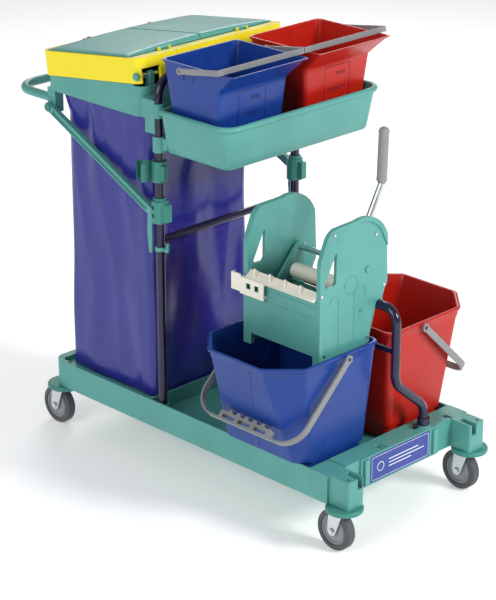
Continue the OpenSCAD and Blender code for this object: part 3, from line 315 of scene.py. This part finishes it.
def bag():
    """Film sack hung from its holder: narrower at the foot, drawn out to the holder above, with folds."""
    low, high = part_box("waste_bag")
    around, levels = 420, 90
    foot_width, inside = 0.35, 0.004
    pull_start = 0.70
    pull_span = high.z - 0.72
    mouth_share = 0.1
    far_low = low.y + foot_width
    rings = []
    for level in range(levels + 1):
        t = level / levels
        z = low.z + inside + t * (high.z - low.z - 0.006)
        upper = max(0.0, min(1.0, (z - pull_start) / pull_span))
        pull = upper * upper * (3 - 2 * upper)
        y1 = far_low + (high.y - inside - far_low) * pull
        y0 = low.y + 0.010 * (1 - t) + inside
        narrow = 0.008 * math.sin(math.pi * min(1.0, t * 1.15))
        top = max(0.0, (t - (1 - mouth_share)) / mouth_share)
        x0 = low.x + 0.006 + 0.02 * (1 - top)
        x1 = high.x - 0.003 - 0.012 * top
        corner = 0.022 + 0.02 * t
        outline = rounded([(x0, y0, corner), (x1, y0, corner), (x1, y1, corner), (x0, y1, corner)], 12)
        lengths = [0.0]
        for i, p in enumerate(outline):
            lengths.append(lengths[-1] + (outline[(i + 1) % len(outline)] - p).length)
        ring, k = [], 0
        for i in range(around):
            s = lengths[-1] * i / around
            while lengths[k + 1] < s:
                k += 1
            span = lengths[k + 1] - lengths[k]
            f = (s - lengths[k]) / span if span > 1e-9 else 0
            a, b = outline[k], outline[(k + 1) % len(outline)]
            p = a.lerp(b, f)
            along = (b - a).normalized() if span > 1e-9 else Vector((1, 0))
            inward = Vector((-along.y, along.x))
            u = 2 * math.pi * i / around
            drift = 0.5 * math.sin(3 * t + 2 * u) + 0.3 * math.sin(7 * t - u)
            fold = (0.55 * (0.5 + 0.5 * math.sin(7 * u + 2 * drift))
                    + 0.3 * abs(math.sin(6.5 * u - 1.2 * drift + 1.2 * t)) ** 1.3
                    + 0.15 * (0.5 + 0.5 * math.sin(23 * u + 3 * t + drift)) * t)
            gather = 0.35 + 0.65 * t ** 3
            depth = (0.003 + 0.013 * gather) * (1 - 0.75 * top)
            crease = 0.0015 * math.sin(15 * t + 3 * math.sin(5 * u)) * (1 - t)
            shift = inward * max(0.0, fold * depth + crease + narrow * 0.6)
            ring.append((p.x + shift.x, p.y + shift.y, z))
        rings.append(ring)
    foot = rings[0]
    centre = Vector((sum(p[0] for p in foot) / around, sum(p[1] for p in foot) / around, foot[0][2]))
    floor = []
    for f in (0.5, 0.8, 0.95):
        floor.append([(centre.x + (p[0] - centre.x) * f, centre.y + (p[1] - centre.y) * f,
                       foot[0][2] - 0.002 * math.sin(math.pi * f) + 0.0008 * math.sin(40 * f + i * 0.35))
                      for i, p in enumerate(foot)])
    vertices, faces = loft(floor + rings, (True, False))
    made = piece("waste_bag_film", vertices, faces, "bag_film", "chassis", ["waste_bag"], smooth=80)


bag()


# ---- large buckets ----

BUCKET_SHOULDER = 0.038  # height of the narrow foot
BUCKET_RIM = 0.004
BUCKET_LEAN = 0.081  # how far the outer wall leans out from the shoulder to the rim


def bucket_outline(x0, x1, y0, y1, cut, radius):
    """Oblong with its two outer corners cut off."""
    inner = min(radius, 0.02)
    return rounded([(x0, y0, radius), (x1, y0, radius), (x1, y1 - cut, inner), (x1 - cut, y1, inner),
                    (x0 + cut, y1, inner), (x0, y1 - cut, inner)], 6)


def bucket(colour, side, slot):
    """Flared bucket with a narrow foot, a corner panel on each outer edge and a folded rim."""
    cad = "bucket_" + colour
    low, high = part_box(cad)
    pivot_boss = 0.0095
    reach = (high.x - low.x) / 2 - pivot_boss
    middle = (high.x + low.x) / 2
    rim = BUCKET_RIM
    x0, x1 = middle - reach + rim, middle + reach - rim
    near, far = (low.y, high.y) if side > 0 else (-high.y, -low.y)
    near, far = near + 0.002, far - rim
    z0, z1 = low.z, high.z
    shoulder = z0 + BUCKET_SHOULDER
    wall = 0.0035
    end_lean, near_lean, foot_in = 0.016, 0.018, 0.022

    def ring(z, inset=0.0, out=0.0, radius=0.018):
        t = max(0.0, min(1.0, (z - shoulder) / (z1 - shoulder)))
        if z < shoulder - 1e-6:
            o = bucket_outline(x0 + foot_in + inset, x1 - foot_in - inset, near + 0.024 + inset,
                               far - 0.097 - inset, 0.02, radius)
        else:
            o = bucket_outline(x0 + end_lean * (1 - t) + inset - out, x1 - end_lean * (1 - t) - inset + out,
                               near + near_lean * (1 - t) + inset - out / 2,
                               far - BUCKET_LEAN * (1 - t) - inset + out,
                               0.03 + 0.04 * t - 0.4 * inset, radius)
        return [(p.x, side * p.y, z) for p in o]

    rings = [ring(z0, 0.006), ring(z0 + 0.0012, 0.002), ring(z0 + 0.005), ring(shoulder - 0.0008),
             ring(shoulder, 0.003), ring(shoulder + 0.0012)]
    rings += [ring(shoulder + (z1 - shoulder) * f) for f in (0.05, 0.2, 0.4, 0.6, 0.8, 0.9)]
    rings += [ring(z1 - 0.024), ring(z1 - 0.0234, out=0.0011), ring(z1 - 0.0225, out=0.0014),
              ring(z1 - 0.0095, out=0.0014), ring(z1 - 0.0085, out=0.002), ring(z1 - 0.008, out=rim - 0.0006),
              ring(z1 - 0.007, out=rim), ring(z1 - 0.0015, out=rim), ring(z1 - 0.0003, out=rim - 0.0012),
              ring(z1, out=rim - 0.0025), ring(z1, inset=wall - 0.002),
              ring(z1 - 0.0004, inset=wall - 0.0006), ring(z1 - 0.0016, inset=wall)]
    rings += [ring(z1 - (z1 - shoulder) * f, wall) for f in (0.1, 0.4, 0.7, 0.97)]
    rings += [ring(shoulder + wall, wall + 0.004), ring(shoulder - 0.001, wall + 0.002),
              ring(z0 + 0.012, wall), ring(z0 + 0.005, wall + 0.003), ring(z0 + 0.0036, wall + 0.009)]
    vertices, faces = loft(rings)
    if side < 0:
        faces = [tuple(reversed(f)) for f in faces]
    piece(cad + "_shell", vertices, faces, slot, cad, [cad], smooth=50)


bucket("blue", -1, "bucket_blue_plastic")
bucket("red", 1, "red_plastic")


# ---- small pails ----

PAIL_WIDTH = 0.237


def pail(colour, side, slot):
    """Tapered pail with a folded rim and a pouring lip across its front, and its printed label frame."""
    cad = "pail_" + colour
    low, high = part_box(cad)
    rim, wall, corner = 0.003, 0.0025, 0.014
    lip_out, lip_h = 0.050, 0.050
    end_lean, side_lean = 0.016, 0.028
    proud = 0.0001
    x0, x1 = low.x + rim, high.x - rim - lip_out
    middle = (low.y + high.y) / 2
    half = PAIL_WIDTH / 2
    z0, z1 = low.z, high.z
    neck = z1 - lip_h

    def ring(z, inset=0.0, out=0.0):
        t = (z - z0) / (z1 - z0)
        lip = lip_out * max(0.0, (z - neck) / lip_h)
        a = x0 + end_lean * (1 - t) + inset - out
        b = x1 - end_lean * (1 - t) + lip - inset + out
        w = half - side_lean * (1 - t) - inset + out
        radius = corner * (1 - 0.6 * lip / lip_out)
        return [(p.x, middle + p.y, z) for p in rounded(
            [(a, -w, corner), (b, -w, radius), (b, w, radius), (a, w, corner)], 6)]

    rings = [ring(z0, 0.006), ring(z0 + 0.001, 0.002), ring(z0 + 0.004)]
    rings += [ring(z0 + (neck - z0) * f) for f in (0.3, 0.6, 0.9)]
    rings += [ring(neck + lip_h * f) for f in (0.0, 0.12, 0.3, 0.6, 0.86)]
    rings += [ring(z1 - 0.0054), ring(z1 - 0.005, out=rim - 0.0005), ring(z1 - 0.0042, out=rim),
              ring(z1 - 0.001, out=rim), ring(z1 - 0.0002, out=rim - 0.001), ring(z1, out=rim - 0.002),
              ring(z1, inset=wall - 0.0012), ring(z1 - 0.0006, inset=wall - 0.0002),
              ring(z1 - 0.002, inset=wall)]
    rings += [ring(neck + lip_h * f, wall) for f in (0.8, 0.4, 0.1, 0.0)]
    rings += [ring(z0 + (neck - z0) * f, wall) for f in (0.9, 0.5, 0.1)]
    rings += [ring(z0 + 0.006, wall + 0.001), ring(z0 + 0.0035, wall + 0.004), ring(z0 + 0.0025, wall + 0.01)]
    vertices, faces = loft(rings)
    piece(cad + "_shell", vertices, faces, slot, cad, [cad], smooth=45)

    # label frame with plain bars, printed on the front wall
    def on_wall(y, z):
        t = (z - z0) / (z1 - z0)
        return (x1 - end_lean * (1 - t) + proud, y, z)

    y0, y1 = middle + side * 0.002 - 0.045, middle + side * 0.002 + 0.040
    turn = 0.004
    frame_low, frame_high = neck - 0.094, neck - 0.008
    outline = rounded([(y0, frame_low, turn), (y1, frame_low, turn), (y1, frame_high, turn),
                       (y0, frame_high, turn)], 4)
    beads(cad + "_label", [[on_wall(*p) for p in outline]], 0.0006, "tube_coat", cad, closed=True)
    bars = []
    shares = [(0.45, 0.8)] * 3 + [(0.15, 0.85), (0.3, 0.85), (0.15, 0.7)]
    first_bar, bar_gap, group_gap = 0.016, 0.0035, 0.026
    for i, ends in enumerate(shares):
        z = frame_high - first_bar - bar_gap * i - (group_gap if i > 2 else 0)
        bars.append([on_wall(y0 + (y1 - y0) * f, z) for f in ends])
    beads(cad + "_bars", bars, 0.0007, "tube_coat", cad)

    # painted shade: near-black beads beside the bail pivots stand in for the shade inside the slots
    marks = []
    for x in (x0 + 0.068, x0 + 0.099):
        z = z1 - 0.032
        t = (z - z0) / (z1 - z0)
        wall_y = half - side_lean * (1 - t) + proud
        for s in (-1, 1):
            marks.append([(x, middle + s * wall_y, z - 0.006), (x, middle + s * wall_y, z + 0.005),
                          (x + 0.006, middle + s * wall_y, z + 0.006)])
    beads(cad + "_slot_shade", marks, 0.0013, "tube_coat", cad)


pail("blue", -1, "pail_blue_plastic")
pail("red", 1, "red_plastic")


# ---- upper tray with its rolled rim ----

def tray():
    """Tray with leaning walls, a rim rolled outward and a plain rear wall beside the posts."""
    low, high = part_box("upper_tray")
    roll, wall, taper = 0.007, 0.003, 0.018
    behind_rim = 0.008
    z0, z1 = low.z, high.z
    front_corner, rear_corner = 0.045, 0.016

    def ring(z, inset, rear):
        front = max(0.006, front_corner - inset)
        back = max(0.004, rear_corner - rear)
        outline = rounded([(low.x + rear, low.y + inset, back), (high.x - inset, low.y + inset, front),
                           (high.x - inset, high.y - inset, front), (low.x + rear, high.y - inset, back)], 8)
        return [(p.x, p.y, z) for p in outline]

    under = z1 - 2 * roll
    rings = [ring(z0, behind_rim + taper + 0.010, 0.008),
             ring(z0 + 0.0015, behind_rim + taper + 0.003, 0.002),
             ring(z0 + 0.006, behind_rim + taper - 0.001, 0.0005)]
    rings += [ring(z0 + (under - z0) * f, behind_rim + taper * (1 - f), 0.0004) for f in (0.3, 0.6, 0.9)]
    rings += [ring(under + 0.001, 0.0085, 0.0004)]
    for angle in range(-70, 200, 18):
        turn = math.radians(angle)
        inset = roll * (1 - math.cos(turn))
        rings.append(ring(z1 - roll + roll * math.sin(turn), inset, min(inset, 0.012) * 0.6))
    inner = behind_rim + wall
    rings += [ring(z0 + (under - z0) * f, inner + 0.003 + taper * (1 - f), 0.009) for f in (0.92, 0.6, 0.3)]
    rings += [ring(z0 + 0.008, inner + taper, 0.009), ring(z0 + 0.0042, inner + taper + 0.004, 0.012),
              ring(z0 + wall, inner + taper + 0.012, 0.02)]
    vertices, faces = loft(rings)
    piece("upper_tray_shell", vertices, faces, "leaf_plastic", "chassis", ["upper_tray"], smooth=60)


tray()


# ---- lid ring and lids ----

RING_TILT = 7.6
ROD_Z = 0.991
ROD_X = -0.109
RING_TOP = 0.043


def ring_frame(x, y, z):
    """From the tilted frame of the lid ring, with its origin on the hinge rod, to the model's frame."""
    c, s = math.cos(math.radians(RING_TILT)), math.sin(math.radians(RING_TILT))
    return (ROD_X + x * c - z * s, y, ROD_Z + x * s + z * c)


def lid_pad(name, side):
    """Crowned cover on top of a lid half, thin at its edges and highest along the middle seam."""
    x0, x1 = -0.3155, -0.0295
    y0, y1 = 0.0008, 0.2355
    floor_z = RING_TOP + 0.0004
    thick, crown, skirt = 0.0032, 0.0085, 0.0012
    outer_turn, hinge_turn, side_turn, seam_turn = 0.03, 0.012, 0.016, 0.004
    steps = 30
    xs = [x0 + (x1 - x0) * (0.5 - 0.5 * math.cos(math.pi * i / steps)) for i in range(steps + 1)]
    ys = [y0 + (y1 - y0) * (0.5 - 0.5 * math.cos(math.pi * i / steps)) for i in range(steps + 1)]

    def top(x, y):
        rise = thick + crown * (1 - (y / y1) ** 2)
        edge = edge_rise(x - x0, outer_turn) * edge_rise(x1 - x, hinge_turn) * edge_rise(y1 - y, side_turn)
        seam = 0.55 + 0.45 * edge_rise(y - y0, seam_turn)
        return floor_z + skirt + rise * edge * seam

    vertices, faces = [], []
    for level in (0, 1):
        for x in xs:
            for y in ys:
                z = top(x, y) if level else floor_z
                vertices.append(ring_frame(x, side * y, z))
    row = steps + 1
    for i in range(steps):
        for j in range(steps):
            a, b, c, d = i * row + j, (i + 1) * row + j, (i + 1) * row + j + 1, i * row + j + 1
            faces.append((d, c, b, a))
            faces.append(tuple(row * row + k for k in (a, b, c, d)))
    border = ([i * row for i in range(row)] + [steps * row + j for j in range(1, row)]
              + [i * row + steps for i in reversed(range(steps))] + [j for j in reversed(range(1, steps))])
    for k, first in enumerate(border):
        second = border[(k + 1) % len(border)]
        faces.append((first, second, second + row * row, first + row * row))
    if side < 0:
        faces = [tuple(reversed(f)) for f in faces]
    piece(name + "_pad", vertices, faces, "leaf_plastic", name, smooth=50)


lid_pad("lid_left", 1)
lid_pad("lid_right", -1)


def cap(name, place, radius, height, body, turn):
    """Domed round cap that grows from a place, turned from +Z by a matrix."""
    sides = 32
    rings = []
    for r, h in ((1.0, 0), (1.0, 0.45), (0.93, 0.75), (0.75, 0.93), (0.4, 1.0), (0.12, 1.02)):
        angles = [2 * math.pi * k / sides for k in range(sides)]
        points = [Vector((radius * r * math.cos(a), radius * r * math.sin(a), height * h)) for a in angles]
        rings.append([Vector(place) + turn @ point for point in points])
    vertices, faces = loft(rings)
    piece(name, vertices, faces, "leaf_plastic", body, smooth=50)


ROD_CAP_SEAT = 0.0031
rod_low, rod_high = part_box("hinge_rod")
for end, side in (("left", 1), ("right", -1)):
    y = rod_high.y - ROD_CAP_SEAT if side > 0 else rod_low.y + ROD_CAP_SEAT
    cap("rod_cap_" + end, (ROD_X, y, ROD_Z), 0.0096, 0.005, "chassis",
        Matrix.Rotation(-side * math.pi / 2, 3, "X"))


# ---- press arms ----

SHAFT_Y = -0.040
SHAFT_Z = 0.612


def press_arms():
    """Moulded arms round the steel ones of the lever, and the caps on the ends of its shaft."""
    low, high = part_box("press_lever")
    corners = [(0.0145, -0.004, 0.003), (0.0125, 0.0105, 0.005), (0.0, 0.0165, 0.005),
               (-0.0135, 0.0105, 0.004), (-0.0775, -0.0595, 0.004), (-0.071, -0.0775, 0.003),
               (-0.052, -0.0735, 0.004), (0.005, -0.0615, 0.006)]
    outline = rounded(corners, 5)
    half, soft = 0.0036, 0.0012
    roller_low, roller_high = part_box("press_roller")
    middle = sum(outline, Vector((0, 0))) / len(outline)
    for name, x in (("press_arm_left", roller_low.x + 0.003), ("press_arm_right", roller_high.x - 0.003)):
        rings = []
        for shrink, level in ((soft, -half), (soft * 0.3, -half + soft * 0.3), (0, -half + soft),
                              (0, half - soft), (soft * 0.3, half - soft * 0.3), (soft, half)):
            drawn = [p + (middle - p).normalized() * shrink for p in outline]
            rings.append([(x + level, SHAFT_Y + p.x, SHAFT_Z + p.y) for p in drawn])
        vertices, faces = loft(rings)
        piece(name, vertices, faces, "leaf_plastic", "lever", smooth=50)
    for name, x, side in (("shaft_cap_far", low.x, -1), ("shaft_cap_near", high.x, 1)):
        cap(name, (x - side * MM, SHAFT_Y, SHAFT_Z), 0.0085, 0.003, "lever",
            Matrix.Rotation(side * math.pi / 2, 3, "Y"))


press_arms()


# ---- embossed lines ----

def wringer_lines():
    """Raised circle and hooks on the near cheek, and two seams across the drain body."""
    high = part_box("wringer_cheeks")[1]
    raised_edge = 0.003
    face = high.x - raised_edge
    circle = arc((-0.095, 0.589), 0.021, 0, 345, 30)
    short_hook = (arc((-0.150, 0.560), 0.014, 200, 0, 14) + [(-0.136, 0.462)]
                  + arc((-0.130, 0.458), 0.006, 180, 290, 6))
    long_hook = (arc((-0.066, 0.562), 0.018, -30, 180, 16) + [(-0.085, 0.462)]
                 + arc((-0.090, 0.458), 0.005, 0, -110, 6))
    beads("cheek_circle", [[(face, y, z) for y, z in circle]], 0.0011, "leaf_plastic", "wringer", closed=True)
    beads("cheek_hooks", [[(face, y, z) for y, z in path] for path in (short_hook, long_hook)], 0.0012,
          "leaf_plastic", "wringer")
    low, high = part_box("drain_body")
    seam = [[(low.x + 0.001, low.y, z), (high.x - 0.001, low.y, z)] for z in (0.533, 0.560)]
    beads("drain_seams", seam, 0.0009, "leaf_plastic", "wringer")


def bucket_groove():
    """Raised line that winds down the blue bucket's outer wall."""
    low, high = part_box("bucket_blue")
    shoulder = low.z + BUCKET_SHOULDER

    def wall(x, z):
        t = (z - shoulder) / (high.z - shoulder)
        return (x, low.y + BUCKET_RIM + BUCKET_LEAN * (1 - t) + 0.0002, z)

    path = [wall(0.345, high.z - 0.024), wall(0.340, 0.385), wall(0.328, 0.350), wall(0.324, 0.300),
            wall(0.320, 0.254), wall(0.310, 0.205)]
    beads("bucket_blue_line", [path], 0.0012, "bucket_blue_plastic", "bucket_blue")


def plate_marks():
    """Plain border, disc and bars on the front plate, in place of any lettering."""
    low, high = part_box("front_plate")
    x = high.x + 0.0001
    inset, turn = 0.004, 0.005
    outline = rounded([(low.y + inset, low.z + inset, turn), (high.y - inset, low.z + inset, turn),
                       (high.y - inset, high.z - inset, turn), (low.y + inset, high.z - inset, turn)], 5)
    beads("plate_border", [[(x, p.x, p.y) for p in outline]], 0.0005, "plate_white", "chassis", closed=True)
    middle = (low.z + high.z) / 2
    ring = arc((low.y + 0.034, middle), 0.011, 0, 350, 24)
    beads("plate_ring", [[(x, y, z) for y, z in ring]], 0.0009, "plate_white", "chassis", closed=True)
    bars = [[(x, low.y + 0.062, middle + dz), (x, low.y + end, middle + dz)]
            for dz, end in ((0.009, 0.165), (0.0, 0.185), (-0.009, 0.140))]
    beads("plate_bars", bars, 0.0011, "plate_white", "chassis")


wringer_lines()
bucket_groove()
plate_marks()


# ---- floor, light and camera ----

def stage():
    """White floor with a faint glow, so that it stays white like the background, and a pale sky."""
    floor = bpy.data.meshes.new("floor")
    reach = 9.0
    corners = [(-reach, -reach, 0), (reach, -reach, 0), (reach, reach, 0), (-reach, reach, 0)]
    floor.from_pydata(corners, [], [(0, 1, 2, 3)])
    made = bpy.data.objects.new("floor", floor)
    bpy.context.scene.collection.objects.link(made)
    material = bpy.data.materials.new("floor")
    material.use_nodes = True
    shader = material.node_tree.nodes["Principled BSDF"]
    shader.inputs["Base Color"].default_value = (0.9, 0.9, 0.9, 1)
    shader.inputs["Roughness"].default_value = 0.8
    shader.inputs["Emission Color"].default_value = (1, 1, 1, 1)
    shader.inputs["Emission Strength"].default_value = 0.28
    floor.materials.append(material)
    world = bpy.data.worlds.new("studio")
    world.use_nodes = True
    sky = world.node_tree.nodes["Background"]
    sky.inputs["Color"].default_value = (0.97, 0.98, 1.0, 1)
    sky.inputs["Strength"].default_value = 0.38
    bpy.context.scene.world = world


def area_light(name, place, target, size, power):
    """White area light at a place, turned to a target."""
    data = bpy.data.lights.new(name, "AREA")
    data.size = size
    data.energy = power
    made = bpy.data.objects.new(name, data)
    made.location = place
    made.rotation_euler = (Vector(target) - Vector(place)).to_track_quat("-Z", "Y").to_euler()
    bpy.context.scene.collection.objects.link(made)


def camera():
    """Long-lens camera that looks down on the trolley's bucket end and the side of the blue pails."""
    tilt, turn = 21.879, 45.121
    data = bpy.data.cameras.new("camera")
    data.sensor_width = 36
    data.lens = 129.0
    data.clip_end = 60
    made = bpy.data.objects.new("camera", data)
    made.location = (3.4617, -3.4333, 2.359)
    made.rotation_euler = (math.radians(90 - tilt), 0, math.radians(turn))
    bpy.context.scene.collection.objects.link(made)
    bpy.context.scene.camera = made


stage()
area_light("key", (4.9, 1.2, 3.4), (0, 0, 0.5), 1.4, 235)
area_light("fill", (0.6, -4.5, 2.6), (0, 0, 0.5), 2.4, 90)
area_light("back", (-2.8, 2.8, 3.0), (0, 0, 0.7), 2.0, 60)
camera()
